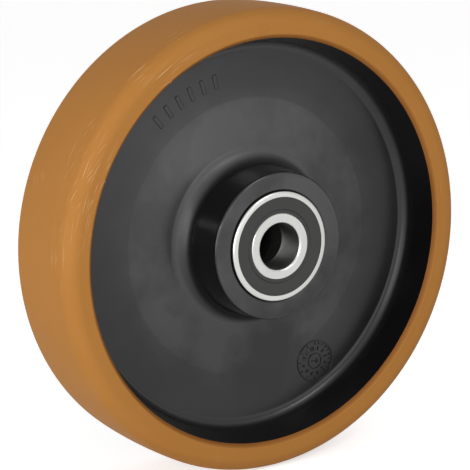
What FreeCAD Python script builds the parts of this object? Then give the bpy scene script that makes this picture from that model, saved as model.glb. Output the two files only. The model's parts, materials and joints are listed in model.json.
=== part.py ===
import FreeCAD, Part
import math
import os

import Sketcher
from FreeCAD import Placement, Rotation, Vector

# Pallet truck wheel: a polyurethane tyre moulded on a plastic wheel centre that carries two sealed
# deep groove ball bearings. Millimetres, with the origin at the wheel's centre. The wheel spins
# about Y, +Z is up and the front side faces -Y. A radius is measured from the Y axis, and a station
# is a place along it. Profiles are drawn in the XY plane and turned about Y.

SIZES = (
    ("wheel_diameter", 200.0, "over the middle of the tread"),
    ("tyre_width", 45.0, "between the tyre's side faces"),
    ("tyre_thickness", 9.0, "from the rim's seat to the tread"),
    ("tread_crown", 1.0, "fall of the tread from its middle to its edges"),
    ("shoulder_radius", 6.5, "rounding between tread and side face"),
    ("side_cover", 1.9, "tyre material over each end of the rim"),
    ("lip_slope", 1.6, "radial run of the bevel inside the tyre's side face"),
    ("lip_edge_radius", 1.0, "rounding of that bevel's outer edge"),
    ("key_height", 2.0, "rib round the rim that locks the tyre"),
    ("key_width", 14.0, "that rib at its foot"),
    ("key_draft", 0.5, "how much each flank leans in up to the rib's top"),
    ("rim_edge_thickness", 4.1, "rim wall at its mouth"),
    ("rim_draft", 14.0, "lean of the rim's inner wall, degrees"),
    ("rim_fillet", 3.5, "between rim wall and web"),
    ("web_thickness", 9.0, "flat outer part of the web"),
    ("taper_diameter", 120.0, "circle where the web begins to thicken towards the hub"),
    ("taper_rise", 1.0, "what the web gains on each side at the hub's foot"),
    ("hub_length", 54.0, "over the hub's end faces"),
    ("hub_wall", 8.0, "hub round the bearing's outer ring, at its end faces"),
    ("hub_draft", 4.5, "lean of the hub's side, degrees"),
    ("hub_fillet", 4.5, "between hub and web"),
    ("hub_edge_radius", 1.2, "rounding of the hub's outer edge"),
    ("mouth_chamfer", 0.7, "lead-in of each bearing seat"),
    ("bearing_stand_out", 1.0, "how far a bearing's face stands out of the hub's end face"),
    ("seat_shoulder", 4.0, "radial width of the shoulder that each bearing rests against"),
    ("seat_play", 0.02, "radial play of a bearing in its seat"),
    ("bearing_bore", 20.0, "inner ring's bore"),
    ("bearing_outside", 47.0, "outer ring's outside"),
    ("bearing_width", 14.0, "both rings"),
    ("ring_corner_radius", 1.0, "corners of both rings"),
    ("ball_share", 0.567, "ball's diameter over the bearing's width, which makes it 5/16 inch"),
    ("ball_count", 8, "balls in each bearing"),
    ("ball_play", 0.02, "radial play between a ball and each raceway"),
    ("groove_ratio", 0.52, "raceway radius as a share of the ball's diameter"),
    ("inner_shoulder_share", 0.204, "height of the inner raceway's shoulders over the ball's diameter"),
    ("inner_land_step", 0.3, "from the inner ring's shoulder down to the land under the seal's lip"),
    ("inner_land_width", 2.2, "that land, from the ring's face"),
    ("inner_edge_chamfer", 0.3, "outer edge of the inner ring's face"),
    ("outer_shoulder_share", 0.185, "height of the outer raceway's shoulders over the ball's diameter"),
    ("mouth_share", 0.447, "place of the outer ring's mouth from its shoulder, 0, to its outside, 1"),
    ("seal_seat_depth", 1.7, "from the ring's face in to the ledge that the seal lies on"),
    ("seal_groove_depth", 0.45, "undercut that holds the seal's bead"),
    ("seal_groove_width", 0.7, "that undercut at its bottom"),
    ("seal_groove_run", 0.45, "slope from the undercut back to the mouth"),
    ("seal_inset", 0.25, "seal's face behind the ring's face"),
    ("seal_play", 0.06, "round the seal, at its bead, its ledge and its lip"),
    ("seal_web_thickness", 1.1, "seal between bead and lip"),
    ("lip_groove_offset", 1.5, "from the seal's lip out to the middle of its flexing groove"),
    ("lip_groove_width", 0.5, "that groove at the seal's face"),
    ("lip_groove_depth", 0.25, "that groove"),
    ("cage_thickness", 0.7, "cage strip"),
    ("cage_play", 0.8, "radial gap between the cage strip and either ring"),
    ("pocket_play", 0.2, "between a ball and its pocket"),
    ("rivet_diameter", 1.2, "rivet's shank"),
    ("rivet_play", 0.02, "radial play of the shank in its hole"),
    ("rivet_head_diameter", 2.2, "both heads of a rivet"),
    ("rivet_head_height", 0.5, "one head"),
)

NEAR = 1e-4

doc = FreeCAD.newDocument("pallet_truck_wheel")


class Size:
    """A number together with the sheet expression that gives it."""

    def __init__(self, number, text):
        self.number = number
        self.text = text

    def __add__(self, other):
        return Size(self.number + number_of(other), f"({self.text} + {text_of(other)})")

    def __sub__(self, other):
        return Size(self.number - number_of(other), f"({self.text} - {text_of(other)})")

    def __mul__(self, other):
        return Size(self.number * number_of(other), f"({self.text} * {text_of(other)})")

    def __truediv__(self, other):
        return Size(self.number / number_of(other), f"({self.text} / {text_of(other)})")

    def __neg__(self):
        return Size(-self.number, f"(-1 * {self.text})")


def number_of(value):
    return value.number if isinstance(value, Size) else value


def text_of(value):
    return value.text if isinstance(value, Size) else repr(value)


def tangent(degrees):
    return Size(math.tan(math.radians(degrees.number)), f"tan({degrees.text} * 1 deg)")


def cosine(degrees):
    return Size(math.cos(math.radians(degrees.number)), f"cos({degrees.text} * 1 deg)")


def sine(degrees):
    return Size(math.sin(math.radians(degrees.number)), f"sin({degrees.text} * 1 deg)")


def make_sheet():
    """Write the driving sizes to the spreadsheet and return them by name."""
    sheet = doc.addObject("Spreadsheet::Sheet", "Sizes")
    for row, (alias, value, note) in enumerate(SIZES, 1):
        sheet.set(f"A{row}", alias)
        sheet.set(f"B{row}", str(value))
        sheet.setAlias(f"B{row}", alias)
        sheet.set(f"C{row}", note)
    doc.recompute()
    return {alias: Size(float(getattr(sheet, alias)), f"Sizes.{alias}") for alias, _, _ in SIZES}


S = make_sheet()

# Radii and stations that several pieces share, worked out from the driving sizes.
TYRE_HALF = S["tyre_width"] / 2
RIM_HALF = TYRE_HALF - S["side_cover"]
RIM_SEAT = S["wheel_diameter"] / 2 - S["tyre_thickness"]
RIM_MOUTH = RIM_SEAT - S["rim_edge_thickness"]
KEY_TOP = RIM_SEAT + S["key_height"]
KEY_FOOT_HALF = S["key_width"] / 2
KEY_TOP_HALF = KEY_FOOT_HALF - S["key_draft"]
HUB_HALF = S["hub_length"] / 2
BEARING_HALF = S["bearing_width"] / 2
BEARING_STATION = HUB_HALF + S["bearing_stand_out"] - BEARING_HALF
BORE = S["bearing_bore"] / 2
OUTSIDE = S["bearing_outside"] / 2
PITCH_RADIUS = (BORE + OUTSIDE) / 2
BALL_DIAMETER = S["bearing_width"] * S["ball_share"]
BALL_RADIUS = BALL_DIAMETER / 2
GROOVE_RADIUS = BALL_DIAMETER * S["groove_ratio"]
INNER_SHOULDER = PITCH_RADIUS - BALL_RADIUS + BALL_DIAMETER * S["inner_shoulder_share"]
OUTER_SHOULDER = PITCH_RADIUS + BALL_RADIUS - BALL_DIAMETER * S["outer_shoulder_share"]
INNER_LAND = INNER_SHOULDER - S["inner_land_step"]
SEAL_MOUTH = OUTER_SHOULDER + (OUTSIDE - OUTER_SHOULDER) * S["mouth_share"]
SEAL_LEDGE = BEARING_HALF - S["seal_seat_depth"]
BALL_ANGLE = Size(180.0, "180") / S["ball_count"]

FLIPPED = Rotation(Vector(1, 0, 0), 180)
UPRIGHT = Rotation(Vector(1, 0, 0), -90)


def new_body(name):
    body = doc.addObject("PartDesign::Body", name)
    body.Label = name
    return body


def origin_part(body, role):
    return next(item for item in body.Origin.OriginFeatures if item.Role == role)


def bind(item, **sizes):
    """Set the named properties of an object to sizes from the sheet."""
    for path, size in sizes.items():
        item.setExpression(path.replace("__", "."), size.text)


def new_sketch(body, name):
    sketch = body.newObject("Sketcher::SketchObject", name)
    sketch.AttachmentSupport = [(origin_part(body, "XY_Plane"), "")]
    sketch.MapMode = "FlatFace"
    return sketch


def hold_point(sketch, edge, end, place):
    """Fix one end of an edge at a (radius, station) place."""
    for kind, axis, size in (("DistanceX", -2, place[0]), ("DistanceY", -1, place[1])):
        if abs(number_of(size)) < NEAR:
            sketch.addConstraint(Sketcher.Constraint("PointOnObject", edge, end, axis))
            continue
        index = sketch.addConstraint(
            Sketcher.Constraint(kind, -1, 1, edge, end, number_of(size)))
        sketch.setExpression(f"Constraints[{index}]", text_of(size))


def draw_outline(sketch, corners, crowned_side=None, crown_radius=None):
    """Draw a closed outline through (radius, station) corners.

    The side that starts at the corner crowned_side is an arc with its centre on the X axis.
    """
    first = sketch.GeometryCount
    points = [Vector(number_of(radius), number_of(station), 0) for radius, station in corners]
    for index, start in enumerate(points):
        end = points[(index + 1) % len(points)]
        if index == crowned_side:
            low, high = sorted((start, end), key=lambda point: point.y)
            reach = math.sqrt(crown_radius.number ** 2 - low.y ** 2)
            centre = Vector(low.x - reach, 0, 0)
            tilt = math.asin(high.y / crown_radius.number)
            circle = Part.Circle(centre, Vector(0, 0, 1), crown_radius.number)
            sketch.addGeometry(Part.ArcOfCircle(circle, -tilt, tilt), False)
        else:
            sketch.addGeometry(Part.LineSegment(start, end), False)
    for index in range(len(points)):
        following = (index + 1) % len(points)
        end_here = 2
        start_there = 1
        sketch.addConstraint(Sketcher.Constraint(
            "Coincident", first + index, end_here, first + following, start_there))
        hold_point(sketch, first + index, start_there, corners[index])
    if crowned_side is not None:
        index = sketch.addConstraint(Sketcher.Constraint(
            "Radius", first + crowned_side, crown_radius.number))
        sketch.setExpression(f"Constraints[{index}]", crown_radius.text)


def mirrored(corners):
    """Front corners, then the same corners on the rear side in reverse order."""
    front = [(radius, -station) for radius, station in corners]
    return front + list(reversed(corners))


def turn(body, sketch, name, kind="PartDesign::Revolution"):
    """Turn a sketch about the body's Y axis, as material or as a cut."""
    feature = body.newObject(kind, name)
    feature.Profile = sketch
    feature.ReferenceAxis = (sketch, ["V_Axis"])
    feature.Angle = 360
    doc.recompute()
    return feature


def turned_body(name, corners, **crown):
    body = new_body(name)
    sketch = new_sketch(body, f"{name}_profile")
    draw_outline(sketch, corners, **crown)
    turn(body, sketch, f"{name}_turned")
    return body


def ring_edges(shape, places):
    """Names of the circular edges about Y at the given (radius, station) places."""
    names = []
    for index, edge in enumerate(shape.Edges, 1):
        if not isinstance(edge.Curve, Part.Circle):
            continue
        for radius, station in places:
            same_radius = abs(edge.Curve.Radius - number_of(radius)) < NEAR
            if same_radius and abs(edge.Curve.Center.y - number_of(station)) < NEAR:
                names.append(f"Edge{index}")
    return names


def dress_edges(body, name, kind, prop, size, radius, station):
    """Round or bevel the edges at a radius on both sides of the body's middle."""
    base = body.Tip
    feature = body.newObject(kind, name)
    feature.Base = (base, ring_edges(base.Shape, ((radius, station), (radius, -station))))
    bind(feature, **{prop: size})
    doc.recompute()


def round_edges(body, name, size, radius, station):
    dress_edges(body, name, "PartDesign::Fillet", "Radius", size, radius, station)


def bevel_edges(body, name, size, radius, station):
    dress_edges(body, name, "PartDesign::Chamfer", "Size", size, radius, station)


def cut_raceway(body, name, centre_radius):
    """Cut the rounded track that the balls run in."""
    sketch = new_sketch(body, f"{name}_circle")
    sketch.addGeometry(Part.Circle(
        Vector(centre_radius.number, 0, 0), Vector(0, 0, 1), GROOVE_RADIUS.number), False)
    hold_point(sketch, 0, 3, (centre_radius, 0))
    index = sketch.addConstraint(Sketcher.Constraint("Radius", 0, GROOVE_RADIUS.number))
    sketch.setExpression(f"Constraints[{index}]", GROOVE_RADIUS.text)
    turn(body, sketch, name, "PartDesign::Groove")


def repeat_round(body, name, features):
    """Repeat features about Y, once for each ball."""
    pattern = body.newObject("PartDesign::PolarPattern", name)
    pattern.Originals = features
    pattern.Axis = (origin_part(body, "Y_Axis"), [""])
    pattern.Angle = 360
    bind(pattern, Occurrences=S["ball_count"])
    body.Tip = pattern
    doc.recompute()
    return pattern


def put_at_bearing(item, side, flipped):
    """Move a piece drawn about the bearing's middle to the front (-1) or rear (+1) bearing."""
    item.Placement = Placement(Vector(0, 0, 0), FLIPPED if flipped else Rotation())
    bind(item, Placement__Base__y=BEARING_STATION * side)


def wheel_centre():
    """Hub, web and rim, moulded as one piece."""
    seat = OUTSIDE + S["seat_play"]
    seat_floor = BEARING_STATION - BEARING_HALF
    web_half = S["web_thickness"] / 2
    foot_station = web_half + S["taper_rise"]
    hub_face = OUTSIDE + S["hub_wall"]
    hub_foot = hub_face + (HUB_HALF - foot_station) * tangent(S["hub_draft"])
    wall_root = RIM_MOUTH - (RIM_HALF - web_half) * tangent(S["rim_draft"])
    body = turned_body("wheel_centre", mirrored([
        (OUTSIDE - S["seat_shoulder"], seat_floor),
        (seat, seat_floor),
        (seat, HUB_HALF - S["mouth_chamfer"]),
        (seat + S["mouth_chamfer"], HUB_HALF),
        (hub_face, HUB_HALF),
        (hub_foot, foot_station),
        (S["taper_diameter"] / 2, web_half),
        (wall_root, web_half),
        (RIM_MOUTH, RIM_HALF),
        (RIM_SEAT, RIM_HALF),
        (RIM_SEAT, KEY_FOOT_HALF),
        (KEY_TOP, KEY_TOP_HALF),
    ]))
    round_edges(body, "hub_foot_round", S["hub_fillet"], hub_foot, foot_station)
    round_edges(body, "rim_root_round", S["rim_fillet"], wall_root, web_half)
    round_edges(body, "hub_edge_round", S["hub_edge_radius"], hub_face, HUB_HALF)
    return body


def tyre():
    """Tread, shoulders and side faces, moulded over the rim and its locking rib."""
    crown = S["tread_crown"]
    edge_radius = S["wheel_diameter"] / 2 - crown
    lip = RIM_MOUTH + S["lip_slope"]
    corners = mirrored([
        (KEY_TOP, KEY_TOP_HALF),
        (RIM_SEAT, KEY_FOOT_HALF),
        (RIM_SEAT, RIM_HALF),
        (RIM_MOUTH, RIM_HALF),
        (lip, TYRE_HALF),
        (edge_radius, TYRE_HALF),
    ])
    crown_radius = (TYRE_HALF * TYRE_HALF + crown * crown) / (crown * 2)
    last_front_corner = len(corners) // 2 - 1
    body = turned_body("tyre", corners, crowned_side=last_front_corner, crown_radius=crown_radius)
    round_edges(body, "shoulder_round", S["shoulder_radius"], edge_radius, TYRE_HALF)
    round_edges(body, "lip_edge_round", S["lip_edge_radius"], lip, TYRE_HALF)
    return body


def outer_ring(name, side):
    """Outer race with its raceway and, at each face, the seat of a seal."""
    undercut = SEAL_MOUTH + S["seal_groove_depth"]
    undercut_top = SEAL_LEDGE + S["seal_groove_width"]
    body = turned_body(name, mirrored([
        (OUTER_SHOULDER, SEAL_LEDGE),
        (undercut, SEAL_LEDGE),
        (undercut, undercut_top),
        (SEAL_MOUTH, undercut_top + S["seal_groove_run"]),
        (SEAL_MOUTH, BEARING_HALF),
        (OUTSIDE, BEARING_HALF),
    ]))
    bottom = PITCH_RADIUS + BALL_RADIUS + S["ball_play"]
    cut_raceway(body, f"{name}_raceway", bottom - GROOVE_RADIUS)
    round_edges(body, f"{name}_corners", S["ring_corner_radius"], OUTSIDE, BEARING_HALF)
    put_at_bearing(body, side, flipped=False)
    return body


def inner_ring(name, side):
    """Inner race with its raceway and a plain land for each seal's lip."""
    land_end = BEARING_HALF - S["inner_land_width"]
    body = turned_body(name, mirrored([
        (BORE, BEARING_HALF),
        (INNER_LAND, BEARING_HALF),
        (INNER_LAND, land_end),
        (INNER_SHOULDER, land_end),
    ]))
    bottom = PITCH_RADIUS - BALL_RADIUS - S["ball_play"]
    cut_raceway(body, f"{name}_raceway", bottom + GROOVE_RADIUS)
    round_edges(body, f"{name}_corners", S["ring_corner_radius"], BORE, BEARING_HALF)
    bevel_edges(body, f"{name}_edges", S["inner_edge_chamfer"], INNER_LAND, BEARING_HALF)
    put_at_bearing(body, side, flipped=False)
    return body


def seal(name, side, flipped):
    """Rubber disc with a bead in the outer ring's undercut and a lip at the inner ring."""
    play = S["seal_play"]
    lip = INNER_LAND + play
    mouth = SEAL_MOUTH - play
    bead = SEAL_MOUTH + S["seal_groove_depth"] - play
    ledge = SEAL_LEDGE + play
    bead_top = SEAL_LEDGE + S["seal_groove_width"] - play
    face = BEARING_HALF - S["seal_inset"]
    back = face - S["seal_web_thickness"]
    groove = lip + S["lip_groove_offset"]
    groove_half = S["lip_groove_width"] / 2
    body = turned_body(name, [
        (lip, back),
        (OUTER_SHOULDER, back),
        (OUTER_SHOULDER, ledge),
        (bead, ledge),
        (bead, bead_top),
        (mouth, bead_top + S["seal_groove_run"]),
        (mouth, face),
        (groove + groove_half, face),
        (groove, face - S["lip_groove_depth"]),
        (groove - groove_half, face),
        (lip, face),
    ])
    put_at_bearing(body, side, flipped)
    return body


def ball(name, side, number):
    """One ball, numbered round the pitch circle."""
    angle = BALL_ANGLE * (2 * number + 1)
    item = doc.addObject("Part::Sphere", name)
    item.Label = name
    bind(item, Radius=BALL_RADIUS,
         Placement__Base__x=PITCH_RADIUS * cosine(angle),
         Placement__Base__y=BEARING_STATION * side,
         Placement__Base__z=PITCH_RADIUS * sine(angle))
    return item


def pocket_sphere(body, name, kind, radius):
    """Sphere about the first ball's centre, with its poles along Y."""
    item = body.newObject(kind, name)
    item.AttachmentSupport = [(origin_part(body, "XY_Plane"), "")]
    item.MapMode = "FlatFace"
    item.AttachmentOffset = Placement(Vector(0, 0, 0), UPRIGHT)
    bind(item, Radius=radius,
         AttachmentOffset__Base__x=PITCH_RADIUS * cosine(BALL_ANGLE),
         AttachmentOffset__Base__z=PITCH_RADIUS * sine(BALL_ANGLE))
    return item


def cage_half(name, side, flipped):
    """Pressed ribbon: flat strips between spherical pockets that hold one side of the balls."""
    thickness = S["cage_thickness"]
    inside = INNER_SHOULDER + S["cage_play"]
    outside = OUTER_SHOULDER - S["cage_play"]
    bowl_radius = BALL_RADIUS + S["pocket_play"]
    bulge_radius = bowl_radius + thickness
    past = bulge_radius + thickness
    body = turned_body(name, [
        (inside, 0), (outside, 0), (outside, thickness), (inside, thickness)])

    bulge = pocket_sphere(body, f"{name}_bulge", "PartDesign::AdditiveSphere", bulge_radius)
    bulge.Angle1 = 0
    doc.recompute()
    repeat_round(body, f"{name}_bulges", [bulge])

    trim = new_sketch(body, f"{name}_trim_profile")
    for low, high in ((PITCH_RADIUS - past, inside), (outside, PITCH_RADIUS + past)):
        draw_outline(trim, [(low, 0), (high, 0), (high, past), (low, past)])
    turn(body, trim, f"{name}_trim", "PartDesign::Groove")

    bowl = pocket_sphere(body, f"{name}_bowl", "PartDesign::SubtractiveSphere", bowl_radius)
    doc.recompute()
    repeat_round(body, f"{name}_bowls", [bowl])

    hole = body.newObject("PartDesign::SubtractiveCylinder", f"{name}_rivet_hole")
    hole.AttachmentSupport = [(origin_part(body, "XY_Plane"), "")]
    hole.MapMode = "FlatFace"
    hole.AttachmentOffset = Placement(Vector(0, 0, 0), UPRIGHT)
    bind(hole, Radius=S["rivet_diameter"] / 2 + S["rivet_play"], Height=thickness * 2,
         AttachmentOffset__Base__x=PITCH_RADIUS)
    doc.recompute()
    repeat_round(body, f"{name}_rivet_holes", [hole])
    put_at_bearing(body, side, flipped)
    return body


def cage_rivets(name, side):
    """Rivets between the pockets, which clamp the two halves face to face."""
    axis = PITCH_RADIUS
    shank = axis + S["rivet_diameter"] / 2
    head = axis + S["rivet_head_diameter"] / 2
    under_head = S["cage_thickness"]
    top = under_head + S["rivet_head_height"]
    body = new_body(name)
    body.AllowCompound = True
    sketch = new_sketch(body, f"{name}_profile")
    draw_outline(sketch, mirrored([(shank, under_head), (head, under_head), (shank, top), (axis, top)]))
    rivet = body.newObject("PartDesign::Revolution", f"{name}_rivet")
    rivet.Profile = sketch
    axis_edge = 4
    rivet.ReferenceAxis = (sketch, [f"Edge{axis_edge}"])
    rivet.Angle = 360
    doc.recompute()
    repeat_round(body, f"{name}_round", [rivet])
    put_at_bearing(body, side, flipped=False)
    return body


def bearing(place, side):
    """All pieces of one bearing. The outer side is the one that faces away from the web."""
    rear = side > 0
    pieces = [
        outer_ring(f"{place}_outer_ring", side),
        inner_ring(f"{place}_inner_ring", side),
        seal(f"{place}_outer_seal", side, flipped=not rear),
        seal(f"{place}_inner_seal", side, flipped=rear),
        cage_half(f"{place}_cage_outer_half", side, flipped=not rear),
        cage_half(f"{place}_cage_inner_half", side, flipped=rear),
        cage_rivets(f"{place}_cage_rivets", side),
    ]
    for number in range(int(S["ball_count"].number)):
        pieces.append(ball(f"{place}_ball_{number + 1}", side, number))
    return pieces


def check_and_export(pieces):
    """Stop on any failed object, then write each piece to its own file."""
    doc.recompute()
    for item in doc.Objects:
        if "Invalid" in item.State or "Error" in item.State:
            raise RuntimeError(f"{item.Label} failed: {item.State}")
    for piece in pieces:
        if piece.Shape.isNull() or not piece.Shape.isValid():
            raise RuntimeError(f"{piece.Label} has no valid shape")
    os.makedirs("parts", exist_ok=True)
    for piece in pieces:
        piece.Shape.exportStep(f"parts/{piece.Label}.step")
        print(f"{piece.Label}: {len(piece.Shape.Solids)} solid, {piece.Shape.Volume:.2f} mm3")


check_and_export([wheel_centre(), tyre()] + bearing("front", -1) + bearing("rear", 1))
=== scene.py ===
# %% [markdown]
# A wheel of a pallet truck: a cast polyurethane tyre on a black plastic wheel centre, with a sealed
# ball bearing pressed into each end of its hub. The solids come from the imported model, and so do the
# bodies that carry every piece made here. What follows adds the finishes, finer outlines and the
# mould's marks. Lengths are written in millimetres, as on a drawing, and scaled to Blender's metres
# where a shape is drawn.

# %% Load the frame
import json
from math import acos, cos, pi, radians, sin, sqrt, tan

import bpy
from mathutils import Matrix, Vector


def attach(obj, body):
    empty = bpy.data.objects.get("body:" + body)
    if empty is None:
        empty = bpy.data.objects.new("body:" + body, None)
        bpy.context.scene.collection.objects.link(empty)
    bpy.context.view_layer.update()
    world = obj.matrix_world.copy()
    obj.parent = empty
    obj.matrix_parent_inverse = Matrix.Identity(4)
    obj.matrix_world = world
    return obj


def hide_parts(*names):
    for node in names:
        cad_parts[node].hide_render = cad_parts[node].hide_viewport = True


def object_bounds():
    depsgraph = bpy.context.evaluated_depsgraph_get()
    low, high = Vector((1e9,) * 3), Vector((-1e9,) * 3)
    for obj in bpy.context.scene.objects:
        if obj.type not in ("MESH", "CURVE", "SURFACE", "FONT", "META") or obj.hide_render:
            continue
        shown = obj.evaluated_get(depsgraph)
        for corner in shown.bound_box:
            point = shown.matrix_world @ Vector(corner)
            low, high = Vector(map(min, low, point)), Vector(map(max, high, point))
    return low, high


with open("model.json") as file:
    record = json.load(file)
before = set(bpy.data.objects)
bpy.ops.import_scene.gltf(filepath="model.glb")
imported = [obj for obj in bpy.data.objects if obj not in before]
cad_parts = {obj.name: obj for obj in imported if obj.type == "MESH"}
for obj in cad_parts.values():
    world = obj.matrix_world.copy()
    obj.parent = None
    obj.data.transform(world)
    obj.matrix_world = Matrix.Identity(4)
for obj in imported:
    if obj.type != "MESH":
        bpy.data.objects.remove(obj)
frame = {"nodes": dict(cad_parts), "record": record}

cad_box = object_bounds()
MM = 0.001
print("CAD box", cad_box)

# %% [markdown]
# The camera is a long lens, a little above the axle and well to the left, so that the tread shows on
# the left and the rim's inner wall on the right. It could be moved by eye until the picture fits.
# Here its angles, distance and focal length were solved instead, because a circle seen at an angle
# gives them all, and the tyre and the bearing are full of circles.

# %% Camera
CAMERA_AZIMUTH = radians(-33.602)
CAMERA_ELEVATION = radians(12.493)
CAMERA_DISTANCE = 0.9313
FOCAL_PIXELS = 2170.6
PHOTO_PIXELS = 470
SHIFT = (-0.01765, -0.0009)
SENSOR = 36.0

towards_camera = Vector((
    sin(CAMERA_AZIMUTH) * cos(CAMERA_ELEVATION),
    -cos(CAMERA_AZIMUTH) * cos(CAMERA_ELEVATION),
    sin(CAMERA_ELEVATION)))
bpy.ops.object.camera_add(location=towards_camera * CAMERA_DISTANCE)
camera = bpy.context.object
camera.rotation_euler = (-towards_camera).to_track_quat("-Z", "Y").to_euler()
camera.data.sensor_width = SENSOR
camera.data.lens = SENSOR * FOCAL_PIXELS / PHOTO_PIXELS
camera.data.shift_x, camera.data.shift_y = SHIFT
camera.data.clip_start = 0.05
bpy.context.scene.camera = camera
print("lens", round(camera.data.lens, 2), "mm")

# %% [markdown]
# A finish is a graph of nodes, and in Blender's node editor it is wired by hand. A long formula is
# easier to read as a sum, so a `Signal` wraps one output socket, and adding or multiplying signals
# adds the Math nodes that do it. Either order works, such as `1 - mask` and `mask - 1`.

# %% Signals
class Signal:
    """One output socket, open to arithmetic."""

    def __init__(self, nodes, socket):
        self.nodes = nodes
        self.socket = socket

    def __add__(self, other):
        return self.nodes.math("ADD", self, other)

    __radd__ = __add__

    def __sub__(self, other):
        return self.nodes.math("SUBTRACT", self, other)

    def __rsub__(self, other):
        return self.nodes.math("SUBTRACT", other, self)

    def __mul__(self, other):
        return self.nodes.math("MULTIPLY", self, other)

    __rmul__ = __mul__

    def __truediv__(self, other):
        return self.nodes.math("DIVIDE", self, other)

    def __pow__(self, power):
        return self.nodes.math("POWER", self, power)

    def size(self):
        return self.nodes.math("ABSOLUTE", self)

    def clamped(self):
        return self.nodes.math("MAXIMUM", self.nodes.math("MINIMUM", self, 1.0), 0.0)

    def ramp(self, start, end):
        """Nothing at the first length and one at the second, both in millimetres."""
        return ((self - start * MM) / ((end - start) * MM)).clamped()


# %% [markdown]
# The same few nodes come back in every finish: noise, a ramp of tones, a mix of two colours, a bump.
# `Nodes` adds each of them with one call. All go through its `node` method, which takes the settings
# first and the sockets after, because a setting can change which sockets a node has.

# %% Nodes
class Nodes:
    """A node tree that is written in calls."""

    def __init__(self, tree):
        self.tree = tree

    def plug(self, socket, value):
        if isinstance(value, Signal):
            self.tree.links.new(value.socket, socket)
        else:
            socket.default_value = value

    def node(self, kind, settings=None, sockets=None, output=0):
        node = self.tree.nodes.new("ShaderNode" + kind)
        for name, value in (settings or {}).items():
            if name == "stops":
                for element, (place, shade) in zip(node.color_ramp.elements, value):
                    element.position = place
                    element.color = (shade, shade, shade, 1.0)
            else:
                setattr(node, name, value)
        for key, value in (sockets or {}).items():
            self.plug(node.inputs[key], value)
        return Signal(self, node.outputs[output])

    def math(self, operation, *values):
        return self.node("Math", {"operation": operation}, dict(enumerate(values)))

    def vector(self, x, y, z):
        return self.node("CombineXYZ", sockets={0: x, 1: y, 2: z})

    def noise(self, vector, scale, detail=2.0, roughness=0.5):
        return self.node("TexNoise", sockets={
            "Vector": vector, "Scale": scale, "Detail": detail, "Roughness": roughness}, output="Fac")

    def tones(self, signal, first, second):
        """Black up to one level of a signal and white from another."""
        stops = ((first, 0.0), (second, 1.0))
        return self.node("ValToRGB", {"stops": stops}, {"Fac": signal}, output="Color")

    def blend(self, factor, first, second):
        """A mix of two colours, each a signal or its red, green and blue."""
        colours = [colour if isinstance(colour, Signal) else (*colour, 1)
                   for colour in (first, second)]
        return self.node("Mix", {"data_type": "RGBA"}, {
            "Factor": factor, 6: colours[0], 7: colours[1]}, output=2)

    def bump(self, height, distance, strength):
        return self.node("Bump", sockets={
            "Strength": strength, "Distance": distance * MM, "Height": height}, output="Normal")

    def ray(self, kind):
        """One where a light path is of a kind, such as Camera or Glossy."""
        return self.node("LightPath", output=f"Is {kind} Ray")

    def place(self):
        """The point on the piece, its x, y and z, and its distance from the axle."""
        point = self.node("TexCoord", output="Object")
        x, y, z = (self.node("SeparateXYZ", sockets={0: point}, output=axis) for axis in "XYZ")
        return point, x, y, z, (x * x + z * z) ** 0.5

    def near(self, point, place, reach):
        """One at a place, fading to nothing at a distance, in millimetres."""
        apart = self.node("VectorMath", {"operation": "DISTANCE"}, {
            0: point, 1: [value * MM for value in place]}, output="Value")
        return 1 - apart.ramp(0, reach)


# %% [markdown]
# A finish is one material. Several shaders could be mixed for it, but nothing on this wheel is clear
# or layered, so one Principled shader does. `feed` sets its sockets or links signals to them, and
# `keep` files a finished material under the name of its slot, where the pieces look for it.

# %% Finishes
class Finish(Nodes):
    """One material, built round a Principled shader."""

    def __init__(self, name, **plain):
        self.material = bpy.data.materials.new(name)
        self.material.use_nodes = True
        super().__init__(self.material.node_tree)
        self.tree.nodes.clear()
        self.shader = self.tree.nodes.new("ShaderNodeBsdfPrincipled")
        output = self.tree.nodes.new("ShaderNodeOutputMaterial")
        self.tree.links.new(self.shader.outputs["BSDF"], output.inputs["Surface"])
        self.feed(**plain)

    def feed(self, **values):
        """Set or link the shader's sockets, and give the material."""
        for socket, value in values.items():
            self.plug(self.shader.inputs[socket.replace("_", " ")], value)
        return self.material


FINISHES = {}


def keep(build):
    """Build a material and file it under its slot's name."""
    slot = build.__name__
    FINISHES[slot] = build()
    print(slot, len(FINISHES[slot].node_tree.nodes), "nodes")


# %% [markdown]
# The tyre is cast polyurethane the colour of caramel, satin where the mould shaped it and a little
# cloudy inside. Where it thins out over the rim's edge, the black plastic darkens it. The shoulder
# carries pale scuffs from handling, and most lie together where the wheel was dragged. They could be
# painted on an image. Noise that is stretched the way the wheel rolls gives the same thin lines at
# any distance, and it needs no image.

# %% Polyurethane
CARAMEL = (0.348, 0.146, 0.029)
PALE_CARAMEL = (0.400, 0.174, 0.040)
OVER_BLACK = (0.190, 0.062, 0.010)
SCUFFED = (0.66, 0.44, 0.25)
SCUFF_STRENGTH = 0.48
DRAGGED_PLACE = (-88.0, -21.0, 34.0)
DRAGGED_REACH = 45.0
FEATHER_EDGE = (88.7, 87.3)


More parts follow.
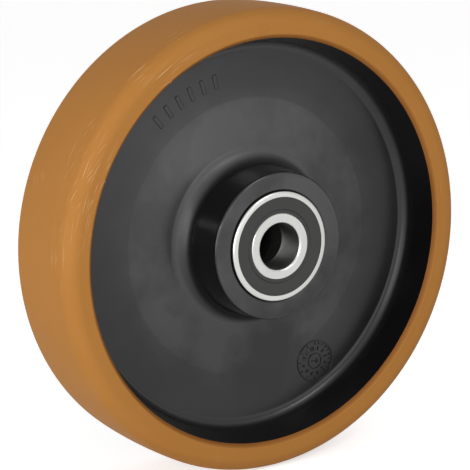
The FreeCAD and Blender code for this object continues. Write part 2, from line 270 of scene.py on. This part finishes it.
def polyurethane():
    finish = Finish("polyurethane", IOR=1.5, Specular_IOR_Level=0.12)
    point, x, y, z, radius = finish.place()
    cloud = finish.noise(point, 22.0, 3.0, 0.55)
    patch = finish.noise(point, 34.0)
    fine = finish.noise(point, 900.0)

    across = radius - y.size()
    rolled = finish.vector(x * 55.0, across * 1500.0, z * 55.0)
    slanted = finish.vector(x * 90.0, (across + 0.4 * z) * 1700.0, z * 90.0)
    streak = finish.noise(rolled, 1.0, 2.0, 0.6)
    scratch = finish.noise(slanted, 1.0, 1.0)
    lines = (finish.tones(streak, 0.62, 0.70) + finish.tones(scratch, 0.68, 0.74)).clamped()
    dragged = finish.near(point, DRAGGED_PLACE, DRAGGED_REACH)
    scuff = lines * finish.tones(patch + 0.35 * dragged, 0.58, 0.74)

    thin = radius.ramp(*FEATHER_EDGE)
    warm = finish.blend(cloud, CARAMEL, PALE_CARAMEL)
    darkened = finish.blend(thin * (0.45 + 0.7 * patch), warm, OVER_BLACK)
    return finish.feed(
        Base_Color=finish.blend(scuff * SCUFF_STRENGTH, darkened, SCUFFED),
        Roughness=0.58 + 0.10 * cloud + 0.12 * scuff,
        Normal=finish.bump(fine + streak * 0.6, 0.02, 0.6))


keep(polyurethane)

# %% [markdown]
# The wheel centre is glass-filled nylon, nearly black. Most of what the eye sees on it is the soft
# reflection of the room, so its roughness matters more than its colour, and one flat grey would look
# like paint. Where the melt cooled, the web is a little smoky. Inside the circle where it begins to
# thicken, the smoke is painted lighter, as painted light for the brighter reflection there. A painted
# highlight spreads from above the hub at the upper left, over the web, the hub's end faces and the
# roundings. Its bends are duller than its flats. The faces that the mould's steel core shaped,
# inside the hub, are the dullest. Masks on the radius and on the station along the axle tell these
# places apart, because the piece is turned.

# %% Black plastic
NYLON = (0.003, 0.003, 0.0035)
# The lighter grey takes both the smoke and the painted highlight.
SMOKE_AND_GLOW_GREY = (0.060, 0.060, 0.0608)
TAPER = 60.0
CRISP_EDGE = (TAPER + 0.4, TAPER - 0.4)
SOFT_EDGE = (TAPER + 8.0, TAPER - 5.0)
# Where the painted highlight is brightest, and how far out it fades.
PAINTED_GLOW_PLACE = (-16.0, -5.0, 43.0)
PAINTED_GLOW_REACH = 90.0
WEB_STATIONS = (6.5, 5.5)
END_STATIONS = (26.7, 26.9)
BEND_STARTS = (5.2, 5.8)
BEND_ENDS = (11.0, 7.0)
CORED_EDGE = (23.6, 23.4)


def black_plastic():
    finish = Finish("black_plastic", IOR=1.43)
    point, x, y, z, radius = finish.place()
    flow = finish.noise(finish.vector(x * 20.0, radius * 60.0, z * 20.0), 1.0, 3.0, 0.55)
    smoke = finish.noise(point, 20.0, 4.0, 0.6)
    grain = finish.noise(point, 1600.0, 2.0, 0.6)
    # Painted highlight: a glow that fades out from above the hub at the upper left.
    haze_and_painted_glow = finish.near(point, PAINTED_GLOW_PLACE, PAINTED_GLOW_REACH)

    station = y.size()
    on_web = station.ramp(*WEB_STATIONS)
    on_end = station.ramp(*END_STATIONS)
    bend = station.ramp(*BEND_STARTS) * station.ramp(*BEND_ENDS)
    thicker = 0.45 * radius.ramp(*CRISP_EDGE) + 0.55 * radius.ramp(*SOFT_EDGE)
    cored = radius.ramp(*CORED_EDGE)

    # Painted light: the random smoke is painted lighter inside the taper circle than in the band by the
    # rim.
    smoke_and_painted_disc = finish.tones(smoke, 0.42, 0.58) * (on_web * (0.2 + 0.8 * thicker) + on_end)
    # Painted highlight on the web, stronger inside the taper circle, on the hub's end faces and on the
    # roundings.
    painted_glow = haze_and_painted_glow * ((0.65 + 1.15 * thicker) * on_web + 1.3 * on_end + 1.8 * bend)
    return finish.feed(
        Base_Color=finish.blend(0.5 * (smoke_and_painted_disc + painted_glow), NYLON, SMOKE_AND_GLOW_GREY),
        Roughness=(0.17 + 0.07 * flow + 0.04 * on_web * (1 - thicker) + 0.20 * bend
                   + 0.55 * cored),
        Normal=finish.bump(grain + 6.0 * smoke, 0.01, 0.5))


keep(black_plastic)

# %% [markdown]
# Bearing rings are ground on their faces and in their bore. Grinding leaves very fine rings: on a
# face they depend on the radius, and in the bore on the station along the axle. The shader's
# anisotropy would stretch the highlights as well, but fine rings in the bump also break them up, as
# on the real steel. The rounded outer corner of the outer ring is turned, not ground, and its colour
# is painted dark there: painted shade for the dark gap round the ring in the hub.

# %% Bearing steel
GROUND_STEEL = (0.508, 0.511, 0.493)
BRIGHT_STEEL = (0.578, 0.581, 0.562)
SHADED_CORNER_STEEL = (0.10, 0.10, 0.095)
BORE_EDGE = (10.6, 10.2)
SHADED_CORNER_EDGE = (23.25, 23.40)


def bearing_steel():
    finish = Finish("bearing_steel", Metallic=1.0)
    point, x, y, z, radius = finish.place()
    in_bore = radius.ramp(*BORE_EDGE)
    face_rings = finish.noise(finish.vector(radius * 6000.0, 0.0, 0.0), 1.0, 2.0, 0.6)
    bore_rings = finish.noise(finish.vector(y * 9000.0, x * 60.0, z * 60.0), 1.0, 2.0, 0.6)
    rings = face_rings * (1 - in_bore) + 20.0 * bore_rings * in_bore
    tone = finish.noise(point, 60.0)
    ground = finish.blend(tone, GROUND_STEEL, BRIGHT_STEEL)
    return finish.feed(
        # Painted shade: the outer ring's rounded outer corner and its outside are painted near black.
        Base_Color=finish.blend(radius.ramp(*SHADED_CORNER_EDGE), ground, SHADED_CORNER_STEEL),
        Roughness=0.22 + 0.10 * tone + 0.05 * in_bore,
        Normal=finish.bump(rings, 0.004, 0.5))


keep(bearing_steel)

# %% [markdown]
# Behind the seals, the balls are lapped and nearly a mirror, and the cages are pressed from sheet
# steel with a dull, slightly pitted skin. Nobody sees them until the bearing is opened, and the
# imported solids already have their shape, so they only get a finish.

# %% Ball and cage steel
LAPPED_STEEL = (0.80, 0.80, 0.80)
MIRROR_STEEL = (0.86, 0.86, 0.86)
PRESSED_STEEL = (0.52, 0.51, 0.49)
WORN_STEEL = (0.64, 0.63, 0.61)


def ball_steel():
    finish = Finish("ball_steel", Metallic=1.0)
    point = finish.place()[0]
    haze_and_painted_glow = finish.noise(point, 400.0)
    return finish.feed(
        Base_Color=finish.blend(haze_and_painted_glow, LAPPED_STEEL, MIRROR_STEEL),
        Roughness=0.05 + 0.05 * haze_and_painted_glow)


def cage_steel():
    finish = Finish("cage_steel", Metallic=1.0)
    point = finish.place()[0]
    press = finish.noise(point, 700.0, 3.0, 0.6)
    return finish.feed(
        Base_Color=finish.blend(press, PRESSED_STEEL, WORN_STEEL),
        Roughness=0.32 + 0.16 * press,
        Normal=finish.bump(press, 0.01, 0.4))


keep(ball_steel)
keep(cage_steel)

# %% [markdown]
# The seals are nitrile rubber moulded on a steel disc: dark grey and dull, with a very fine texture.
# A single grey would look like a hole beside the bright rings. Two noises, one for the tone and one
# for the grain, keep it rubber.

# %% Seal rubber
RUBBER = (0.013, 0.013, 0.0125)
PALE_RUBBER = (0.021, 0.021, 0.020)


def seal_rubber():
    finish = Finish("seal_rubber", IOR=1.5)
    point = finish.place()[0]
    tone = finish.noise(point, 240.0, 3.0, 0.55)
    grain = finish.noise(point, 2600.0, 2.0, 0.6)
    return finish.feed(
        Base_Color=finish.blend(tone, RUBBER, PALE_RUBBER),
        Roughness=0.58 + 0.12 * tone,
        Normal=finish.bump(grain, 0.01, 0.5))


keep(seal_rubber)

# %% [markdown]
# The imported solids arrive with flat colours. Each one names the slot that its material belongs to, so
# one loop dresses them all. Setting them by hand would do for six materials, but not for 32 pieces.

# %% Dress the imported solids
for row in frame["record"]["subparts"]:
    node = frame["nodes"][row["node"]]
    node.data.materials.clear()
    node.data.materials.append(FINISHES[row["material_slot"]])
print("finishes", sorted(FINISHES))

# %% [markdown]
# Nearly every piece of a wheel is turned, so a few helpers do the work of a lathe. A cylinder could
# be shaped face by face, but a profile says more: it is the section that a drawing of the piece
# shows. It is drawn as by hand, from one vertex that is extruded from corner to corner, and closed.

# %% Draw a profile
SAME_PLACE = MM / 1000


def select_only(*pieces):
    """Select these pieces, and make the first one active."""
    bpy.ops.object.select_all(action="DESELECT")
    for piece in pieces:
        piece.select_set(True)
    bpy.context.view_layer.objects.active = pieces[0]


def pick(piece, wanted):
    """Select only the vertices whose place passes a test, with their edges and faces."""
    for vertex in piece.data.vertices:
        vertex.select = wanted(vertex.co)
    for part in list(piece.data.edges) + list(piece.data.polygons):
        part.select = all(piece.data.vertices[index].select for index in part.vertices)


def draw_profile(name, corners):
    """A closed outline through (radius, station) corners, in the XY plane."""
    bpy.ops.object.select_all(action="DESELECT")
    places = [Vector((radius, station, 0)) * MM for radius, station in corners]
    bpy.ops.mesh.primitive_plane_add(size=MM)
    profile = bpy.context.object
    profile.name = profile.data.name = name
    bpy.ops.object.mode_set(mode="EDIT")
    bpy.ops.mesh.merge(type="CENTER")
    bpy.ops.transform.translate(value=places[0])
    for start, end in zip(places, places[1:]):
        bpy.ops.mesh.extrude_region_move(TRANSFORM_OT_translate={"value": end - start})
    bpy.ops.object.mode_set(mode="OBJECT")
    ends = (places[0], places[-1])
    pick(profile, lambda place: min((place - end).length for end in ends) < SAME_PLACE)
    for edge in profile.data.edges:
        edge.select = False
    bpy.ops.object.mode_set(mode="EDIT")
    bpy.ops.mesh.edge_face_add()
    bpy.ops.object.mode_set(mode="OBJECT")
    return profile


# %% [markdown]
# A moulded or ground piece has no sharp corners, and its roundings catch the light. They could be
# bevelled after the spin. Rounding the corner of the profile instead gives every rounding its own
# radius, and needs one vertex bevel for each.

# %% Round its corners
def round_corners(profile, corners, radius, segments):
    """Round the outline at the given corners with an arc of one radius."""
    outline = profile.data
    for corner in corners:
        place = Vector((*corner, 0)) * MM
        pick(profile, lambda here: (here - place).length < SAME_PLACE)
        index = next(vertex.index for vertex in outline.vertices if vertex.select)
        arms = [outline.vertices[sum(edge.vertices) - index].co - place
                for edge in outline.edges if index in edge.vertices]
        reach = radius / tan(arms[0].angle(arms[1]) / 2)
        bpy.ops.object.mode_set(mode="EDIT")
        bpy.ops.mesh.bevel(offset=reach * MM, offset_type="OFFSET", segments=segments,
                           profile=0.5, affect="VERTICES", clamp_overlap=False)
        bpy.ops.object.mode_set(mode="OBJECT")


# %% [markdown]
# A Screw modifier could turn the profile. The Spin operator does the same in edit mode, and the seam
# is merged at once. Smooth shading with weighted normals then hides the facets, but leaves broad
# faces flat, as a lathe does.

# %% Turn it
SMOOTH_ANGLE = radians(32.0)


def apply_modifier(piece, kind, **settings):
    bpy.ops.object.modifier_add(type=kind)
    modifier = piece.modifiers[-1]
    for name, value in settings.items():
        setattr(modifier, name, value)
    bpy.ops.object.modifier_apply(modifier=modifier.name)


def edit_all(piece):
    """Open a piece in edit mode, with all of it selected."""
    select_only(piece)
    bpy.ops.object.mode_set(mode="EDIT")
    bpy.ops.mesh.select_all(action="SELECT")


def finish_smooth(piece):
    """Smooth the shading over gentle bends, and let the broad faces keep their own normals."""
    select_only(piece)
    bpy.ops.object.shade_smooth_by_angle(angle=SMOOTH_ANGLE)
    apply_modifier(piece, "WEIGHTED_NORMAL", keep_sharp=True)


def turn(profile, steps):
    """Spin the outline about the axle into a closed ring."""
    edit_all(profile)
    bpy.ops.mesh.spin(steps=steps, angle=2 * pi, center=(0, 0, 0), axis=(0, 1, 0),
                      use_auto_merge=True)
    bpy.ops.mesh.select_all(action="SELECT")
    bpy.ops.mesh.remove_doubles(threshold=SAME_PLACE)
    bpy.ops.mesh.normals_make_consistent(inside=False)
    bpy.ops.object.mode_set(mode="OBJECT")
    finish_smooth(profile)
    print(profile.name, len(profile.data.polygons), "faces")
    return profile


def mirrored(corners):
    """Corners of the front half, then the same corners at the rear in reverse."""
    return [(radius, -station) for radius, station in corners] + list(reversed(corners))


def dress(piece, body, slot, *nodes):
    """Give a piece its finish, the body that carries it and the CAD nodes that it stands for."""
    piece.data.materials.clear()
    piece.data.materials.append(FINISHES[slot])
    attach(piece, body)
    if nodes:
        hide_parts(*nodes)


# %% [markdown]
# The tyre is cast round the rim: a crowned tread, round shoulders, flat side faces, and a bevelled
# lip down to the rim's mouth. Inside it is keyed on a rib of the rim. A torus would look like a tyre
# for air. This one is solid, so its section is nearly square. The crown is a shallow arc, worked out
# as a few chords between the two shoulders.

# %% Tyre
TREAD = 99.97
TYRE_HALF = 22.5
CROWN = 1.0
RIM_HALF = 20.6
RIM_SEAT = 91.0
RIM_MOUTH = 86.9
KEY = ((93.0, 6.5), (RIM_SEAT, 7.0))
LIP = (88.5, TYRE_HALF)
LIP_RADIUS = 1.0
SHOULDER = (TREAD - CROWN, TYRE_HALF)
SHOULDER_RADIUS = 6.5
CROWN_STATIONS = range(-15, 16, 3)
ROUND_STEPS = 256

crown_radius = (TYRE_HALF ** 2 + CROWN ** 2) / (2 * CROWN)
side = list(KEY) + [(RIM_SEAT, RIM_HALF), (RIM_MOUTH, RIM_HALF), LIP, SHOULDER]
tread = [(TREAD - crown_radius + sqrt(crown_radius ** 2 - station ** 2), station)
         for station in CROWN_STATIONS]
front_side = [(radius, -station) for radius, station in side]
tyre = draw_profile("tyre_casting", front_side + tread + list(reversed(side)))
for corner, radius, segments in ((SHOULDER, SHOULDER_RADIUS, 14), (LIP, LIP_RADIUS, 6)):
    round_corners(tyre, [corner, (corner[0], -corner[1])], radius, segments)
turn(tyre, ROUND_STEPS)
dress(tyre, "wheel", "polyurethane", "tyre")

# %% [markdown]
# The wheel centre is one moulding: hub, web and rim. Each wall leans a little so that it leaves the
# mould, the web thickens towards the hub inside a faint circle, and large roundings join the walls,
# because melt flows badly round a sharp corner. Both sides are alike, so only half of the section is
# listed and then mirrored.

# %% Wheel centre
WEB_HALF = 4.5
FOOT_STATION = 5.5
HUB_HALF = 27.0
HUB_FACE = 31.5
HUB_DRAFT = radians(4.5)
RIM_DRAFT = radians(14.0)
SEAT = 23.52
SEAT_FLOOR = 14.0
MOUTH_DEPTH = 0.6
MOUTH_RUN = 1.1
THROAT = 19.5
FOOT_RADIUS = 7.5
ROOT_RADIUS = 4.4
HUB_EDGE_RADIUS = 1.2

hub_foot = (HUB_FACE + (HUB_HALF - FOOT_STATION) * tan(HUB_DRAFT), FOOT_STATION)
wall_root = (RIM_MOUTH - (RIM_HALF - WEB_HALF) * tan(RIM_DRAFT), WEB_HALF)
hub_edge = (HUB_FACE, HUB_HALF)
half = [
    (THROAT, SEAT_FLOOR), (SEAT, SEAT_FLOOR), (SEAT, HUB_HALF - MOUTH_DEPTH),
    (SEAT + MOUTH_RUN, HUB_HALF), hub_edge, hub_foot, (TAPER, WEB_HALF), wall_root,
    (RIM_MOUTH, RIM_HALF), (RIM_SEAT, RIM_HALF), KEY[1], KEY[0]]
centre = draw_profile("centre_moulding", mirrored(half))
for corner, radius, segments in (
        (hub_foot, FOOT_RADIUS, 16), (wall_root, ROOT_RADIUS, 12), (hub_edge, HUB_EDGE_RADIUS, 6)):
    round_corners(centre, [corner, (corner[0], -corner[1])], radius, segments)
turn(centre, ROUND_STEPS)
dress(centre, "wheel", "black_plastic", "wheel_centre")

# %% [markdown]
# The mould's own marks stand a little proud, because they are cut into the mould's steel. A bump on
# the shader would be simpler, but it has no edge that catches the light. So one piece of each mark is
# modelled as a softened block or a low ring, and a spin that makes copies lays out the others.

# %% Mark helpers
MARK_HEIGHT = 0.9
MARK_RADIUS = 70.0
MARK_SOFTNESS = 0.18
LOW_RING_STEPS = 64


def raised_bar(name, width, length, radius, angle, softness=MARK_SOFTNESS):
    """A low block with soft edges that points away from the axle."""
    bpy.ops.object.select_all(action="DESELECT")
    bpy.ops.mesh.primitive_cube_add(
        size=MM, scale=(width, MARK_HEIGHT, length), rotation=(0, pi / 2 - angle, 0),
        location=Vector((radius * cos(angle), 0, radius * sin(angle))) * MM)
    bar = bpy.context.object
    bar.name = bar.data.name = name
    bpy.ops.object.transform_apply()
    apply_modifier(bar, "BEVEL", width=softness * MM, segments=3)
    return bar


def copies_round(piece, copies, angle):
    """Copy all of a piece about the axle, evenly up to an angle."""
    edit_all(piece)
    bpy.ops.mesh.spin(steps=copies, angle=angle, center=(0, 0, 0), axis=(0, 1, 0), dupli=True)
    bpy.ops.object.mode_set(mode="OBJECT")


def set_down(piece, x, station, z):
    """Move all of a piece's mesh, so that its object stays at the origin."""
    edit_all(piece)
    bpy.ops.transform.translate(value=Vector((x, station, z)) * MM)
    bpy.ops.object.mode_set(mode="OBJECT")


def low_ring(name, outer, inner, height=MARK_HEIGHT):
    """A thin raised ring about the axle."""
    top = height / 2
    corners = [(inner, -top), (outer, -top), (outer, top), (inner, top)]
    ring = draw_profile(name, corners)
    round_corners(ring, corners[:2], height / 5, 3)
    return turn(ring, LOW_RING_STEPS)


# %% [markdown]
# A row of plain bars on the upper left of the web tells which cavity of the mould the wheel came
# from. They all point at the axle, so an array in a straight line wouldn't fit. A spin about the
# axle does.

# %% Cavity bars
BARS = 6
BAR_WIDTH = 2.0
BAR_LENGTH = 6.4
BAR_SOFTNESS = 0.42
FIRST_BAR = radians(104)
LAST_BAR = radians(130)

bars = raised_bar("cavity_bars", BAR_WIDTH, BAR_LENGTH, MARK_RADIUS, FIRST_BAR, BAR_SOFTNESS)
copies_round(bars, BARS - 1, LAST_BAR - FIRST_BAR)
finish_smooth(bars)
set_down(bars, 0, -WEB_HALF, 0)
dress(bars, "wheel", "black_plastic")
print("bars", len(bars.data.polygons), "faces")

# %% [markdown]
# A date dial shows the month and how far through the year the mould was used: plain numbers round a
# ring, with a dot outside each month that is done. The numbers could be drawn curve by curve. Text
# objects that become meshes are quicker, and they join with the rest.

# %% Numbers and dots
MONTHS = 12
NUMBER_RADIUS = 5.7
NUMBER_HEIGHT = 2.3
PIP_RADIUS = 8.0
PIP_SIZE = 0.45


def month_angle(month):
    """The middle of a month's share of the dial, clockwise from the top."""
    return 2 * pi * (month - 0.5) / MONTHS


def on_dial(radius, angle, station=0.0):
    return Vector((radius * sin(angle), station, radius * cos(angle))) * MM


def raised_number(month):
    """A plain number that faces the front, with its foot towards the middle."""
    angle = month_angle(month)
    bpy.ops.object.text_add(
        location=on_dial(NUMBER_RADIUS, angle), rotation=(pi / 2, angle, 0))
    number = bpy.context.object
    number.data.body = str(month)
    number.data.size = NUMBER_HEIGHT * MM
    number.data.extrude = MARK_HEIGHT * MM / 2
    number.data.resolution_u = 3
    number.data.align_x = number.data.align_y = "CENTER"
    bpy.ops.object.convert(target="MESH")
    bpy.ops.object.transform_apply()
    return number


def pip(month):
    """A small round dot outside a month's number."""
    bpy.ops.mesh.primitive_uv_sphere_add(
        segments=16, ring_count=8, radius=PIP_SIZE * MM,
        location=on_dial(PIP_RADIUS, month_angle(month), -MARK_HEIGHT / 4))
    dot = bpy.context.object
    bpy.ops.object.transform_apply()
    return dot


def join_as(name, pieces):
    """Join pieces into one, and smooth what is round on it."""
    select_only(*pieces)
    bpy.ops.object.join()
    joined = bpy.context.object
    joined.name = joined.data.name = name
    finish_smooth(joined)
    return joined


# %% [markdown]
# The rest of the dial is two low rings, a tick for each month, and an arrow that the moulder turns
# with a screwdriver. A picture of it all could be laid on a disc, but modelled marks keep their
# shadows. The dial is built about the axle, where turning is easy, joined into one piece, and only
# then set down on the lower right of the web.

# %% Date dial
DIAL_ANGLE = radians(300)
DIAL_RIM = (9.4, 8.9)
DIAL_CENTRE = (3.6, 3.2)
TICK_WIDTH = 0.35
TICK_LENGTH = 1.2
TICK_RADIUS = 8.0
SHAFT_WIDTH = 0.5
SHAFT_LENGTH = 3.4
HEAD_LENGTH = 1.6
HEAD_ANGLE = radians(40)
HEAD_PLACE = (1.2, 0.5)
PIPS = 5

pips = [pip(month) for month in range(1, PIPS + 1)]
ticks = raised_bar("ticks", TICK_WIDTH, TICK_LENGTH, TICK_RADIUS, 0)
copies_round(ticks, MONTHS - 1, 2 * pi * (MONTHS - 1) / MONTHS)
numbers = [raised_number(month) for month in range(1, MONTHS + 1)]
shaft = raised_bar("shaft", SHAFT_WIDTH, SHAFT_LENGTH, 0, 0)
heads = []
for turned in (1, -1):
    head = raised_bar("head", SHAFT_WIDTH, HEAD_LENGTH, 0, turned * HEAD_ANGLE)
    set_down(head, HEAD_PLACE[0], 0, -turned * HEAD_PLACE[1])
    heads.append(head)
dial_rim = low_ring("dial_rim", *DIAL_RIM)
dial_centre = low_ring("dial_centre", *DIAL_CENTRE)

dial = join_as("date_dial", [dial_rim, dial_centre, ticks, shaft] + heads + numbers + pips)
set_down(dial, MARK_RADIUS * cos(DIAL_ANGLE), -WEB_HALF, MARK_RADIUS * sin(DIAL_ANGLE))
dress(dial, "wheel", "black_plastic")
print("dial", len(dial.data.polygons), "faces")

# %% [markdown]
# A faint ring near the top of the tyre's side face is where the casting mould's vent leaves its
# print. It is so low that a bump might do, but the low ring of the dial is already there to be used
# again.

# %% Ring on the tyre's side
VENT_OUTER = 2.4
VENT_INNER = 1.9
VENT_HEIGHT = 0.24
VENT_X = -5.0
VENT_Z = 91.2

vent_mark = low_ring("vent_mark", VENT_OUTER, VENT_INNER, VENT_HEIGHT)
set_down(vent_mark, VENT_X, -TYRE_HALF, VENT_Z)
dress(vent_mark, "wheel", "polyurethane")

# %% [markdown]
# A sealed bearing shows two steel rings with a rubber disc between them. The balls run in a rounded
# track in each ring, a little wider than the ball, and the seal snaps into an undercut of the outer
# ring. Plain tubes would pass from afar, but the track and the undercut make the rings real when the
# bearing is opened. Both are drawn round the bearing's own middle.

# %% Bearing outlines
BORE = 10.0
OUTSIDE = 23.5
BEARING_HALF = 7.0
PITCH = 16.75
BALL = 7.938
BALL_PLAY = 0.02
GROOVE = 0.52 * BALL
TRACK_STEPS = 8
INNER_SHOULDER = 14.40
OUTER_SHOULDER = 19.25
INNER_LAND = 14.10
LAND_START = 4.8
LAND_EDGE = 0.3
MOUTH = 21.15
UNDERCUT = 21.60
LEDGE = 5.3
UNDERCUT_END = 6.0
SLOPE_END = 6.45


def raceway(centre_radius, shoulder, outward):
    """Corners of the rounded track, from the front shoulder to the rear one."""
    reach = acos(abs(shoulder - centre_radius) / GROOVE)
    angles = [reach * step / TRACK_STEPS for step in range(-TRACK_STEPS, TRACK_STEPS + 1)]
    return [(centre_radius + outward * GROOVE * cos(angle), GROOVE * sin(angle))
            for angle in angles]


outer_face = [
    (OUTER_SHOULDER, LEDGE), (UNDERCUT, LEDGE), (UNDERCUT, UNDERCUT_END), (MOUTH, SLOPE_END),
    (MOUTH, BEARING_HALF), (OUTSIDE, BEARING_HALF)]
outer_track = raceway(PITCH + BALL / 2 + BALL_PLAY - GROOVE, OUTER_SHOULDER, 1)
outer_outline = outer_track[::-1] + mirrored(outer_face)
inner_face = [
    (INNER_SHOULDER, LAND_START), (INNER_LAND, LAND_START),
    (INNER_LAND, BEARING_HALF - LAND_EDGE), (INNER_LAND - LAND_EDGE, BEARING_HALF),
    (BORE, BEARING_HALF)]
inner_track = raceway(PITCH - BALL / 2 - BALL_PLAY + GROOVE, INNER_SHOULDER, -1)
inner_outline = inner_track[::-1] + mirrored(inner_face)
print("outlines with", len(outer_outline), "and", len(inner_outline), "corners")

# %% [markdown]
# The seal is a flat disc with a bead that sits in the undercut, a lip that reaches the inner ring,
# and a fine groove near its inner edge, where it flexes. The groove could be left to a bump, but its
# shadow is what tells a seal from a plain washer. It clears both rings by a hair, so that nothing
# overlaps.

# %% Seal outline
SEAL_PLAY = 0.06
SEAL_BACK = 5.65
SEAL_FACE = 6.75
FLEX_RADIUS = 15.66
FLEX_DEPTH = 0.25

lip = INNER_LAND + SEAL_PLAY
bead = UNDERCUT - SEAL_PLAY
neck = MOUTH - SEAL_PLAY
seal_outline = [
    (lip, SEAL_BACK), (OUTER_SHOULDER, SEAL_BACK), (OUTER_SHOULDER, LEDGE + SEAL_PLAY),
    (bead, LEDGE + SEAL_PLAY), (bead, UNDERCUT_END - SEAL_PLAY), (neck, SLOPE_END - SEAL_PLAY),
    (neck, SEAL_FACE), (FLEX_RADIUS + FLEX_DEPTH, SEAL_FACE),
    (FLEX_RADIUS, SEAL_FACE - FLEX_DEPTH), (FLEX_RADIUS - FLEX_DEPTH, SEAL_FACE),
    (lip, SEAL_FACE)]
print("seal with", len(seal_outline), "corners")

# %% [markdown]
# One bearing sits at the front of the hub and one at the rear. A copy of the first could be mirrored,
# but it would carry its normals inside out. The same outlines are moved along the axle and turned
# twice instead. The outer ring and the seal go round with the wheel, and the inner ring stays on the
# axle. Balls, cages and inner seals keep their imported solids.

# %% Bearings
STATION = 21.0
CORNER = 1.0
RING_STEPS = 160


def shifted(corners, side, flip=1):
    """The outline at the front or rear bearing's place, mirrored if asked."""
    return [(radius, station * flip + side * STATION) for radius, station in corners]


def bearing_ring(name, outline, edge, side):
    """One ring, with the two corners at its bore or its outside rounded."""
    ring = draw_profile(name, shifted(outline, side))
    corners = [(edge, BEARING_HALF), (edge, -BEARING_HALF)]
    round_corners(ring, shifted(corners, side), CORNER, 6)
    return turn(ring, RING_STEPS)


for end, side in (("front", -1), ("rear", 1)):
    outer = bearing_ring(f"{end}_outer_race", outer_outline, OUTSIDE, side)
    dress(outer, "wheel", "bearing_steel", f"{end}_outer_ring")

    inner = bearing_ring(f"{end}_inner_race", inner_outline, BORE, side)
    dress(inner, "axle_side", "bearing_steel", f"{end}_inner_ring")

    cover = draw_profile(f"{end}_seal_disc", shifted(seal_outline, side, side))
    turn(cover, RING_STEPS)
    dress(cover, "wheel", "seal_rubber", f"{end}_outer_seal")

# %% [markdown]
# The wheel stands on a white sheet. A lit sheet would need strong lamps to turn plain white, and they
# would wash out the wheel. So the floor glows for the camera and in reflections, but not for diffuse
# light, and it keeps the wheel's soft shadow. At the front right it reflects less, because the dark
# part of a real room shows there in the web's gloss.

# %% Floor
FLOOR_SIZE = 12.0
FLOOR_GREY = (0.80, 0.80, 0.80, 1)
FLOOR_WHITE = 0.62
DIM_PATCH = (420.0, -350.0, 0.0)
DIM_REACH = 285.0
DIMMING = 0.8

bpy.ops.object.select_all(action="DESELECT")
bpy.ops.mesh.primitive_plane_add(size=FLOOR_SIZE, location=(0, 0, cad_box[0][2]))
floor = bpy.context.object
floor.name = "floor"
ground = Finish("floor", Base_Color=FLOOR_GREY, Roughness=1.0, Emission_Strength=1.0)
dim = ground.near(ground.place()[0], DIM_PATCH, DIM_REACH)
glossy = ground.ray("Glossy") * (1 - DIMMING * dim)
seen = ground.math("MAXIMUM", ground.ray("Camera"), glossy)
seen = ground.math("MAXIMUM", seen, ground.ray("Transmission"))
ground.feed(Emission_Color=ground.blend(seen, (0, 0, 0), (FLOOR_WHITE,) * 3))
floor.data.materials.append(ground.material)
print("floor at", round(cad_box[0][2], 4), "m")

# %% [markdown]
# The room is a white world. At full strength it would light the wheel flat from all sides, so for
# diffuse light it is dimmer than what the camera and the reflections see. The same ray tests as on
# the floor do it.

# %% Room
ROOM_LIGHT = 0.38

world = bpy.data.worlds.new("room")
bpy.context.scene.world = world
world.use_nodes = True
background = world.node_tree.nodes["Background"]
background.inputs["Color"].default_value = (1, 1, 1, 1)
room = Nodes(world.node_tree)
seen = room.math("MAXIMUM", room.ray("Camera"), room.ray("Glossy"))
seen = room.math("MAXIMUM", seen, room.ray("Transmission"))
room.plug(background.inputs["Strength"], ROOM_LIGHT + (1 - ROOM_LIGHT) * seen)
print("room light", ROOM_LIGHT)

# %% [markdown]
# The highlights come from soft boxes at the left, in front and above, from a weak white card low at
# the right and from one small bright lamp. An image of a studio round the wheel would give them too.
# Panels are easier to place, because each one answers for one highlight. The Standard view keeps
# white plain.

# %% Lamps
def soft_light(name, place, size, power):
    """A square panel that faces the wheel."""
    bpy.ops.object.light_add(type="AREA", location=place)
    lamp = bpy.context.object
    lamp.name = name
    lamp.data.size = size
    lamp.data.energy = power
    lamp.rotation_euler = (-Vector(place)).to_track_quat("-Z", "Y").to_euler()
    print(name, power, "W")


soft_light("key_panel", (-0.70, -0.18, 0.08), 0.4, 2.2)
soft_light("front_panel", (-0.62, -0.95, 0.12), 0.6, 3.2)
soft_light("top_panel", (0.20, -0.81, 0.77), 0.36, 2.6)
soft_light("low_card", (0.24, -0.76, 0.05), 0.30, 0.4)
soft_light("small_lamp", (-0.79, -0.71, 0.285), 0.05, 1.3)
bpy.context.scene.view_settings.view_transform = "Standard"
